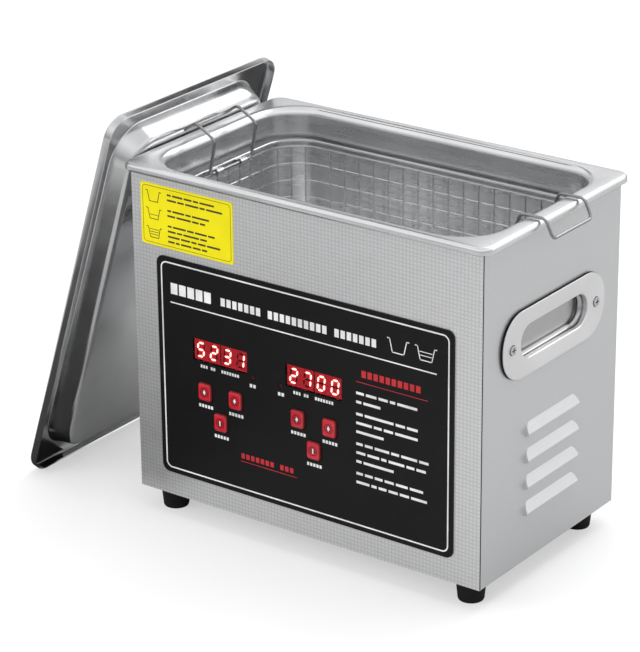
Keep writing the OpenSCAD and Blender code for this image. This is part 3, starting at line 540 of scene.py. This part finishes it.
def lid_strap():
    """The handle: one bent strap on two feet in the pan."""
    foot, riser, top, strap = 46, 27, 7, (18, 4)
    low = strap[1] / 2 - PAN_DEPTH
    path = soften([(-foot, 0, low), (-riser, 0, low), (-riser, 0, top), (riser, 0, top),
                   (riser, 0, low), (foot, 0, low)], 8, steps=8)
    shape = Shape(lid_axes())
    shape.sweep(path, rounded_rect(*strap, 1.5, 4), side=(0, 1, 0))
    place(shape.build("lid_strap"), "lid", "lid_steel", ["lid_handle"])


# Basket ----------------------------------------------------------------------------------------

def basket_band():
    """Rim strip with a rolled bead along both edges, and the clips that the grips turn in."""
    low, high = corners("basket_rim")
    size, radius, bead = (high.x - low.x, high.y - low.y), 25, 0.9
    shape = Shape()
    for z in (low.z + bead, high.z - bead):
        path = at_height(rounded_rect(size[0] - 2 * bead, size[1] - 2 * bead, radius - bead), z)
        shape.tube(path, bead, 8, closed=True)
    strip = [(0.6, low.z + bead), (0.6, high.z - bead), (1.2, high.z - bead), (1.2, low.z + bead)]
    shape.loft([at_height(rounded_rect(size[0] - 2 * i, size[1] - 2 * i, radius - i), z)
                for i, z in strip], closed=True)
    pivot = grip_pivot()
    for side in (-1, 1):
        for y in CLIP_Y:
            # a bored clip, then the tab that joins it to the strip
            outer, bore = CLIP_RADII
            shape.loft([[(side * (pivot.x + u), y + w, pivot.z + v) for u, v in circle(r, 18)]
                        for r, w in ((outer, 0), (outer, CLIP_WIDTH), (bore, CLIP_WIDTH), (bore, 0))],
                       closed=True)
            start, end = side * (pivot.x + 1.6), side * (size[0] / 2 - bead)
            near, far = y + 0.5, y + CLIP_WIDTH - 0.5
            shape.slab([(start, near), (end, near), (end, far), (start, far)],
                       pivot.z - 0.5, pivot.z + 0.5)
    place(shape.build("basket_band"), "basket", "basket_wire", ["basket_rim"])


def basket_wires():
    """Welded mesh: rings round the wall, wires down one wall, under the floor and up the other."""
    low, high = corners("basket_mesh")
    wire, pitch, radius, bend = MESH_WIRE, 11.3, 24.2, 5
    half = Vector((high.x - wire, high.y - wire))
    inner = half - Vector((2 * wire, 2 * wire))
    straight = (half.x - radius, half.y - radius)
    floor, top = low.z + wire, high.z
    shape = Shape()
    rows = int((top - floor) / pitch)
    for k in range(1, rows + 1):
        shape.tube(at_height(rounded_rect(2 * half.x, 2 * half.y, radius), floor + k * pitch),
                   wire, 6, closed=True)
    edge = bend - wire
    shape.tube(at_height(rounded_rect(2 * (half.x - edge), 2 * (half.y - edge), radius - edge), floor),
               wire, 6, closed=True)
    # wires along the basket and, above them, across it; the outermost cross the floor only
    for along, across in ((0, 1), (1, 0)):
        level = floor + 2 * wire * along
        count = int(inner[across] / pitch)
        for k in range(-count, count + 1):
            at = k * pitch
            past = abs(at) - straight[across]
            if past <= 0:
                end = inner[along]
                stops = [(-end, top), (-end, level), (end, level), (end, top)]
            else:
                end = half[along] - edge - radius + math.sqrt(radius ** 2 - past ** 2)
                stops = [(-end, level), (end, level)]
            route = [(at, run, z) if along else (run, at, z) for run, z in stops]
            shape.tube(soften(route, bend), wire, 6)
    # wires down the rounded corners
    for sx, sy in QUADRANTS:
        centre = Vector((sx * straight[0], sy * straight[1], 0))
        for turn in (22.5, 45, 67.5):
            out = Vector((sx * math.cos(math.radians(turn)), sy * math.sin(math.radians(turn)), 0))
            wall = centre + out * (radius - 2 * wire)
            route = [wall + Vector((0, 0, top)), wall + Vector((0, 0, floor)),
                     centre + out * (radius - 10) + Vector((0, 0, floor))]
            shape.tube(soften(route, bend), wire, 6)
    place(shape.build("basket_wires"), "basket", "basket_wire", ["basket_mesh"])


def grip_pivot():
    """Where the right grip's lower wire turns, in the basket's rim."""
    joint = next(j for j in frame["joints"] if j["name"] == "right_grip_hinge")
    return Vector(joint["pos_m"]) / MM


def wire_grip(side):
    """A wire handle at one end of the basket: it lies outwards, and the lid keeps the left one up."""
    pivot = grip_pivot()
    steps = ((0, 0), (8, 22.4), (25, 22.4), (30.2, 11.4))
    near = [(pivot.x + u, -GRIP_HALF, pivot.z + v) for u, v in steps]
    far = [(x, -y, z) for x, y, z in reversed(near)]
    axes = Matrix.Identity(4)
    if side == "left":
        turn = Matrix.Translation((-pivot.x, 0, pivot.z)) @ Matrix.Rotation(LEFT_GRIP_SWING, 4, "Y")
        axes = turn @ Matrix.Translation((pivot.x, 0, -pivot.z)) @ Matrix.Rotation(math.pi, 4, "Z")
    shape = Shape(axes)
    shape.tube(soften(near + far, 3.2, closed=True), GRIP_WIRE, 14, closed=True)
    # The grips take the darker wire: painted shade
    place(shape.build(f"{side}_wire_grip", 60), f"{side}_grip", "basket_wire",
          [f"{side}_basket_grip"], [GRIP_STEEL_PAINTED_SHADE])


# Side handles ----------------------------------------------------------------------------------

def side_handle(side):
    """Thin bezel with a rolled opening, on a black gasket, over a drawn finger recess."""
    low, high = corners("right_handle_frame")
    size = (high.y - low.y, high.z - low.z)
    middle = (0, (low.z + high.z) / 2)
    face, back = high.x, low.x
    plate = face - 0.5
    outer, inner = (size, size[1] / 2 - 1), (OPENING, OPENING_CORNER)
    bezel = Shape(SIDES[side])
    bezel.loft(stepped([(*outer, 0, plate), (*outer, 0, face - 0.2), (*outer, -0.2, face),
                        (*inner, 1.1, face), (*inner, 0.4, face - 0.15), (*inner, 0, face - 0.7),
                        (*inner, 0, back - 2), (*inner, 0.6, back - 2), (*inner, 0.6, plate - 0.4),
                        (*inner, 1.3, plate)], middle), closed=True)
    place(bezel.build(f"{side}_handle_bezel"), "cleaner", "handle_steel", [f"{side}_handle_frame"])

    depth = corners("right_handle_cup")[0].x + SHEET
    dish, dish_r, bend, flange = (OPENING[0] + 2.4, OPENING[1] + 2.4), 11.5, 3, 6
    steps = [(dish, dish_r, by - bend, depth + x) for by, x in arc((0, bend), bend, -90, 0, 6)]
    steps += [(dish, dish_r, 0, back - 0.3), (dish, dish_r, 0.4, back), (dish, dish_r, flange, back)]
    cup = pressed_sheet(f"{side}_finger_cup", stepped(steps, middle), SIDES[side])
    # The recess takes the darker steel: painted shade
    place(cup, "cleaner", "handle_steel", [f"{side}_handle_cup"], [CUP_STEEL_PAINTED_SHADE])


def painted_screw_shade():
    """Painted shade: dark crosses standing for the shade in the screws' cross recesses, and a painted shadow line
    round each head of the handle screws.
    """
    low, high = corners("right_handle_frame")
    face = corners("handle_screws")[1].x
    span, height = HANDLE_SCREW_SPAN, (low.z + high.z) / 2
    shape = Shape()
    for axes in SIDES.values():
        shape.axes = axes
        for across in (-span / 2, span / 2):
            for tip in ((1.5, 0), (0, 1.5)):
                shape.line((across - tip[0], height - tip[1]), (across + tip[0], height + tip[1]),
                           0.7, face - 0.05, face + HAIR)
            ring = [at_height(circle(r), x, (across, height))
                    for r, x in ((3.3, high.x - 0.05), (3.3, high.x + HAIR),
                                 (2.9, high.x + HAIR), (2.9, high.x - 0.05))]
            shape.loft(ring, closed=True)
    # These black crosses and rings are painted shade, not surfaces of the screws
    place(shape.build("painted_screw_shade"), "cleaner", "screw_steel", finishes=[PAINTED_RECESS_SHADE])


def handle_seals():
    """Black gaskets that show as a dark edge round the bezels."""
    low, high = corners("right_handle_frame")
    size = (high.y - low.y + 0.3, high.z - low.z + 0.3)
    middle = (0, (low.z + high.z) / 2)
    wall = corners("right_side_panel")[1].x
    sheet_face = corners("handle_gaskets")[1].x - 1
    shape = Shape()
    for axes in SIDES.values():
        shape.axes = axes
        shape.frame(size, size[1] / 2 - 1, 6, min(sheet_face, wall), high.x - 0.5, middle)
    place(shape.build("handle_seals"), "cleaner", "black_rubber", ["handle_gaskets"])


# Feet and rear fittings ------------------------------------------------------------------------

def feet():
    """Tapered rubber feet with a rounded tread, two shallow grooves and a sunk screw."""
    high = corners("rubber_feet")[1]
    height, widest = high.z, 9.6
    place_x, place_y = high.x - widest, high.y - widest
    sink = height - 6
    profile = [(4.8, 0.15), (6.9, 0), (7.7, 0.3), (8.1, 1.2), (8.4, 4.2), (8.15, 4.7), (8.5, 5.2),
               (8.9, 9.2), (8.65, 9.7), (9, 10.2), (9.5, height - 0.4), (9.3, height),
               (2.2, height), (2.2, sink), (4.3, sink), (4.4, 0.6)]
    shape = Shape()
    for sx, sy in QUADRANTS:
        shape.lathe(profile, (sx * place_x, sy * place_y))
    place(shape.build("tapered_feet", 50), "cleaner", "black_rubber", ["rubber_feet"])


def painted_corner_shade():
    """Painted shade: black strips where the side sheets meet the front sheet, standing for the shade in the gaps.
    """
    front, side = corners("front_panel"), corners("right_side_panel")
    top, bottom, width, proud = front[1].z - 2, side[0].z + 0.3, 1.1, 0.03
    shape = Shape()
    for turn in (1, -1):
        left, right = sorted((turn * (front[1].x - 0.1), turn * (front[1].x + proud)))
        shape.slab([(left, front[0].y + 0.1), (right, front[0].y + 0.1),
                    (right, front[0].y + width), (left, front[0].y + width)], bottom, top)
    # The black rubber finish here is painted shade in the corner gaps
    place(shape.build("painted_corner_shade"), "cleaner", "side_steel", finishes=[FINISHES["black_rubber"]])


def inlet_blades():
    """Three blades with rounded ends, over the plain ones in the socket."""
    low, high = corners("power_inlet")
    centre = ((low.x + high.x) / 2, (low.z + high.z) / 2)
    back = Matrix.Rotation(math.pi, 4, "Z") @ FRONT
    shape = Shape(back)
    for u, v in ((-7, 0), (7, 0), (0, 4)):
        at = (-centre[0] + u, centre[1] + v)
        sizes = ((2.2, 4.2, 58.2), (2.2, 4.2, 71.4), (1.9, 3.9, 72.2), (1.1, 2.9, 72.6))
        shape.loft([at_height(rounded_rect(w, h, 0.5, 4), y, at) for w, h, y in sizes])
    place(shape.build("inlet_blades"), "cleaner", "standoff_brass", finishes=[BLADE_BRASS])


# Printed front ---------------------------------------------------------------------------------

class Print(Shape):
    """Ink on a sheet that faces the front, with heights counted from the sheet's lower edge."""

    def __init__(self, sheet):
        low, high = corners(sheet)
        super().__init__(Matrix.Translation((0, 0, low.z)) @ FRONT)
        self.low = -low.y - 0.02
        self.high = -low.y + HAIR
        self.size = (high.x - low.x, high.z - low.z)
        self.middle = ((low.x + high.x) / 2, self.size[1] / 2)

    def mark(self, left, bottom, right, top, finish=0):
        self.bar(left, bottom, right, top, self.low, self.high, finish)

    def stroke(self, points, width):
        for start, end in zip(points, points[1:]):
            self.line(start, end, width, self.low, self.high)

    def blocks(self, left, bottom, height, counts, width, gap, finish=0):
        """A row of plain blocks where a label's words would be, with a count for each word."""
        x = left
        for count in counts:
            for _ in range(count):
                self.mark(x, bottom, x + width, bottom + height, finish)
                x += width + gap
            x += width + gap

    def words(self, left, bottom, height, lengths, gap):
        """A row of plain bars, one for each word."""
        x = left
        for length in lengths:
            self.mark(x, bottom, x + length, bottom + height)
            x += length + gap

    def border(self, inset, radius, width):
        size = (self.size[0] - 2 * inset, self.size[1] - 2 * inset)
        self.frame(size, radius, width, self.low, self.high, self.middle)

    def tub(self, left, bottom, width, height, levels, weight):
        """A plain open tub with a water line at each level, counted in shares of its height."""
        flare, hook = width * 0.16, width * 0.12
        self.stroke([(left - hook, bottom + height), (left, bottom + height),
                     (left + flare, bottom), (left + width - flare, bottom),
                     (left + width, bottom + height), (left + width + hook, bottom + height)], weight)
        for share in levels:
            inset = flare * (1 - share) + weight * 1.6
            self.stroke([(left + inset, bottom + height * share),
                         (left + width - inset, bottom + height * share)], weight * 0.8)


def key_place(node):
    """Centre of a key's face."""
    low, high = corners(node)
    return (low.x + high.x) / 2, (low.z + high.z) / 2


def overlay_print():
    ink = Print("control_overlay")
    ink.border(3.1, 4.5, 0.95)
    # title: a row of large blocks and smaller ones, with a rule under both
    ink.blocks(-98.5, 121, 7.2, (5,), 5.2, 1.25)
    ink.blocks(-60, 121.7, 5.2, (7, 10, 7), 3.2, 1.25)
    ink.mark(-99, 115, 97, 115.8)
    ink.tub(64, 121.9, 12, 8.4, (), 0.6)
    ink.tub(83.5, 121.9, 12, 8.4, (0.35, 0.62), 0.6)
    # marks under the displays, the lamps and the keys
    for group in GROUP_X:
        ink.blocks(group - 15, 77.4, 2, (3, 2), 1.35, 0.6)
        ink.blocks(group + 1, 77.4, 2, (7,), 1.4, 0.6)
    for x in (GROUP_X[0] + 24.8, GROUP_X[1] - 24.4):
        ink.blocks(x - 2.2, 73.6, 2.2, (2,), 1.9, 0.7)
    base = corners("control_overlay")[0].z
    for node in KEY_ICONS:
        x, z = key_place(node)
        ink.blocks(x - 5.4, z - base - 10.8, 2.1, (5,), 1.65, 0.65)
    # notes at the right: paragraphs of plain word bars under a red heading
    ink.blocks(44, 100.5, 4.4, (10,), 3.1, 1.2, finish=1)
    ink.mark(40, 96.8, 91, 97.2, finish=1)
    notes = (((6, 8, 7, 4, 15), (4, 13)), ((5, 22, 7, 8), (12, 6, 7, 17), (21,)),
             ((5, 6, 11, 6, 12, 7), (7, 9, 4, 12, 6, 7), (4, 23)),
             ((5, 6, 6, 7, 9, 10), (10, 4, 6, 7, 7, 12)))
    line_step, paragraph_step, z = 5.75, 7.8, 88.9
    for paragraph in notes:
        for k, lengths in enumerate(paragraph):
            ink.words(40, z, 1.7, [length * 0.94 for length in lengths], 1.5)
            z -= line_step if k < len(paragraph) - 1 else paragraph_step
    # small red mark under the keys
    ink.blocks(-46.5, 24.3, 3.4, (7, 3), 2.6, 1.1, finish=1)
    ink.mark(-47, 22.1, -4, 22.5, finish=1)
    place(ink.build("overlay_print"), "cleaner", "overlay_black", finishes=[PRINT_WHITE, PRINT_RED])


def sticker_print():
    ink = Print("warning_sticker")
    ink.border(1.5, 2.4, 0.3)
    left = -120.4
    for z, levels in ((28.2, ()), (17, (0.4,)), (4.9, (0.3, 0.55, 0.8))):
        ink.tub(left + 5.4, z, 9.2, 6.6, levels, 0.5)
    rows = ((33.9, (3, 8, 6, 4, 11)), (30.6, (7, 5, 10, 4, 12)),
            (23.9, (3, 9, 4, 13)), (20.6, (6, 11, 5, 4)),
            (13.9, (3, 10, 5, 9, 5)), (10.6, (6, 4, 12, 5)),
            (7.3, (9, 7, 4, 6, 10)), (4, (5, 3, 8, 6, 4)))
    for z, lengths in rows:
        ink.words(left + 20.5, z, 1.2, lengths, 1)
    place(ink.build("sticker_print"), "cleaner", "sticker_yellow", finishes=[PRINT_DARK])


def key_cap(node):
    """A moulded key: a collar behind the sheet, bevelled sides darkened with painted shade and a slightly raised
    face.
    """
    x, z = at = key_place(node)
    low, high = corners(node)
    face = -low.y
    shape = Shape(FRONT)
    collar, key = ((high.x - low.x, high.z - low.z), 2.6), (KEY_SIZE, 2.2)
    # Collar and sides in the dark red: painted shade
    shape.loft(stepped([(*collar, 0, -high.y), (*collar, 0, 1 - high.y), (*key, 0, 1 - high.y),
                        (*key, 0, face - 0.9), (*key, -0.2, face - 0.5), (*key, -0.75, face - 0.2)],
                       at, 6), finish=1)
    shape.loft(stepped([(*key, -0.76, face - 0.6), (*key, -0.76, face - 0.2), (*key, -1.1, face - 0.08),
                        (*key, -2.1, face - 0.03)], at, 6))
    top, ink = face - 0.06, face
    shape.loft([at_height(circle(r), height, at)
                for r, height in ((3.2, top), (3.2, ink), (2.55, ink), (2.55, top))],
               closed=True, finish=1)
    shape.slab(circle(1.9), top, ink - 0.01, at, finish=1)
    if KEY_ICONS[node] == "bar":
        shape.bar(x - 0.45, z - 1.6, x + 0.45, z + 1.6, top, ink, finish=2)
    else:
        shape.slab([(0, 1.7), (-1.1, 0), (0, -1.7), (1.1, 0)], top, ink, at, finish=2)
    place(shape.build(node.replace("_button", "_key")), node, "button_red", [node],
          [FINISHES["button_red"], KEY_INK_AND_SIDE_SHADE, PRINT_WHITE])


# Displays --------------------------------------------------------------------------------------

DIGIT = (4.7, 8.9)
SEGMENTS = {
    "a": ((-1, 1), (1, 1)), "b": ((1, 1), (1, 0)), "c": ((1, 0), (1, -1)), "d": ((1, -1), (-1, -1)),
    "e": ((-1, -1), (-1, 0)), "f": ((-1, 0), (-1, 1)), "g": ((-1, 0), (1, 0)),
}
LIT = {"0": "abcdef", "1": "bc", "2": "abged", "3": "abgcd", "5": "afgcd", "7": "abc"}
LEAN = math.tan(math.radians(6))
SEGMENT_WIDTH = 1.1
HALO_WIDTH = 2.6


def digit_segment(shape, middle, key, width, low, high, finish):
    """One pointed segment of a leaning seven-segment digit."""
    half = Vector((DIGIT[0] / 2, DIGIT[1] / 2))
    start, end = (Vector((u * half.x, v * half.y)) for u, v in SEGMENTS[key])
    along = (end - start).normalized()
    across = Vector((-along.y, along.x)) * width / 2
    gap, point = along * 0.5, along * width / 2
    outline = [start + gap, start + gap + point + across, end - gap - point + across,
               end - gap, end - gap - point - across, start + gap + point - across]
    leaning = [(middle[0] + p.x + p.y * LEAN, middle[1] + p.y) for p in outline]
    shape.slab(leaning, low, high, finish=finish)


def display(node, digits):
    """Four digits on a dark ground: lit segments in their halo, unlit ones, and a faint glow behind."""
    low, high = corners(node)
    face = -low.y
    centre = (low.x + high.x) / 2
    step = (high.x - low.x) / 4
    shape = Shape(FRONT)
    for k, number in enumerate(digits):
        middle = (centre + (k - 1.5) * step, (low.z + high.z) / 2)
        for key in SEGMENTS:
            if key in LIT[number]:
                digit_segment(shape, middle, key, HALO_WIDTH, face, face + 0.02, 1)
                digit_segment(shape, middle, key, SEGMENT_WIDTH, face + 0.02, face + 0.05, 0)
            else:
                digit_segment(shape, middle, key, SEGMENT_WIDTH, face, face + 0.03, 2)
    reach = (high.x - low.x) / 2 - 0.3
    for side in (-1, 1):
        left, right = sorted((centre + side * 0.4, centre + side * reach))
        shape.bar(left, low.z + 0.3, right, high.z - 0.3, face - 0.02, face + 0.008, finish=3)
    place(shape.build(f"{node}_digits"), "cleaner", "display_black",
          finishes=[SEGMENT_LIT, SEGMENT_HALO, SEGMENT_DARK, GLOW_BACK])


# Studio ----------------------------------------------------------------------------------------

def camera():
    """The photo's viewpoint, solved from the object's straight edges."""
    azimuth, elevation = math.radians(AZIMUTH), math.radians(ELEVATION)
    back = Vector((math.sin(azimuth) * math.cos(elevation), -math.cos(azimuth) * math.cos(elevation),
                   math.sin(elevation)))
    right = Vector((math.cos(azimuth), math.sin(azimuth), 0))
    up = back.cross(right)
    roll = math.radians(ROLL)
    across = right * math.cos(roll) + up * math.sin(roll)
    upright = up * math.cos(roll) - right * math.sin(roll)
    data = bpy.data.cameras.new("camera")
    data.lens = LENS
    data.sensor_width = SENSOR
    data.clip_end = 50
    eye = linked("camera", data)
    turn = Matrix((across, upright, back)).transposed().to_4x4()
    eye.matrix_world = Matrix.Translation((Vector(AIM) + back * DISTANCE) * MM) @ turn
    bpy.context.scene.camera = eye


def softbox(name, place_at, aim, size, power, mirrored=True):
    """A rectangular light. One that isn't mirrored lights the object without showing in its steel."""
    data = bpy.data.lights.new(name, "AREA")
    data.shape = "RECTANGLE"
    data.size, data.size_y = size
    data.energy = power
    lamp = linked(name, data)
    lamp.location = place_at
    lamp.rotation_euler = (Vector(aim) - Vector(place_at)).to_track_quat("-Z", "Y").to_euler()
    lamp.visible_glossy = mirrored


def seen_directly(tree):
    """1 for what the camera sees directly, and 0 for reflections and bounced light."""
    return tree.nodes.new("ShaderNodeLightPath").outputs["Is Camera Ray"]


def flat_sheet(name, width, depth):
    """A rectangle of the stage, flat until it is turned."""
    mesh = bpy.data.meshes.new(name)
    x, y = width / 2, depth / 2
    mesh.from_pydata([(-x, -y, 0), (x, -y, 0), (x, y, 0), (-x, y, 0)], [], [(0, 1, 2, 3)])
    return linked(name, mesh)


def floor():
    """White paper to the camera, and a mid grey to what stands on it."""
    ground = flat_sheet("floor", 12, 12)
    paper = Finish("floor_paper", (0.42, 0.42, 0.42), roughness=0.9)
    paper.tint(paper.noise(6, 3), 0.98, 1.02)
    paper.shader.inputs["Emission Color"].default_value = (1, 1, 1, 1)
    glow = paper.math("MULTIPLY", seen_directly(paper.tree), 0.5)
    paper.link(glow, paper.shader.inputs["Emission Strength"])
    ground.data.materials.append(paper.material)


def dark_card(name, size, place_at, turn):
    """A black card that only reflections show."""
    card = flat_sheet(name, *size)
    card.location = place_at
    card.rotation_euler = turn
    black = Finish(f"{name}_black", (0.02, 0.02, 0.02), roughness=0.9)
    black.tint(black.noise(6, 3), 0.9, 1.1)
    card.data.materials.append(black.material)
    card.visible_camera = card.visible_diffuse = card.visible_shadow = False


def studio_walls():
    """White to the camera; to everything else a bright ceiling over greyer walls."""
    world = bpy.data.worlds.new("studio")
    world.use_nodes = True
    bpy.context.scene.world = world
    tree = world.node_tree
    walls = tree.nodes["Background"]
    direction = tree.nodes.new("ShaderNodeTexCoord")
    split = tree.nodes.new("ShaderNodeSeparateXYZ")
    ramp = tree.nodes.new("ShaderNodeValToRGB")
    first, last = ramp.color_ramp.elements
    first.color, last.color = (0.32, 0.32, 0.325, 1), (0.66, 0.66, 0.665, 1)
    for position, value in ((0.12, 0.45), (0.3, 0.64), (0.6, 0.92), (0.78, 0.82)):
        ramp.color_ramp.elements.new(position).color = (value, value, value * 1.01, 1)
    tree.links.new(direction.outputs["Generated"], split.inputs[0])
    tree.links.new(split.outputs["Z"], ramp.inputs["Fac"])
    tree.links.new(ramp.outputs["Color"], walls.inputs["Color"])
    walls.inputs["Strength"].default_value = 1.12
    white = tree.nodes.new("ShaderNodeBackground")
    white.inputs["Strength"].default_value = 1.0
    white.inputs["Color"].default_value = (1, 1, 1, 1)
    mix = tree.nodes.new("ShaderNodeMixShader")
    tree.links.new(seen_directly(tree), mix.inputs[0])
    tree.links.new(walls.outputs[0], mix.inputs[1])
    tree.links.new(white.outputs[0], mix.inputs[2])
    tree.links.new(mix.outputs[0], tree.nodes["World Output"].inputs["Surface"])


def studio():
    """Floor, surroundings, cards that darken the lid's faces, and four lights; sizes in metres."""
    floor()
    studio_walls()
    dark_card("card_behind", (0.34, 0.5), (-0.03, 0.4, 0.002), (0, 0, 0))
    dark_card("card_front", (0.13, 0.36), (-0.19, -0.28, 0.002), (0, 0, 0))
    dark_card("card_left", (0.8, 0.16), (-0.43, -0.385, 0.004), (0, 0, math.radians(60)))
    dark_card("card_above", (0.2, 0.2), (-0.24, 0.3, 0.507), (math.radians(90), 0, 0))
    softbox("overhead", (0.1, 0.2, 1.7), (0, 0, 0.1), (1.4, 1.2), 16, mirrored=False)
    softbox("front", (-1.0, -1.5, 1.0), (0, 0, 0.1), (1.0, 0.8), 13, mirrored=False)
    softbox("side", (1.5, 1.3, 0.55), (0, 0, 0.1), (1.2, 1.0), 2.6)
    softbox("back", (0.16, 1.12, 1.2), (-0.15, 0, 0.25), (1.2, 0.9), 6)
    bpy.context.scene.view_settings.view_transform = "Standard"


camera()
finish_frame()
tank_shell()
lid_pan()
lid_strap()
basket_band()
basket_wires()
for side_name in SIDES:
    wire_grip(side_name)
for side_name in SIDES:
    side_handle(side_name)
handle_seals()
painted_screw_shade()
feet()
painted_corner_shade()
inlet_blades()
overlay_print()
sticker_print()
for key_node in KEY_ICONS:
    key_cap(key_node)
display("temperature_display", "5231")
display("timer_display", "2700")
studio()
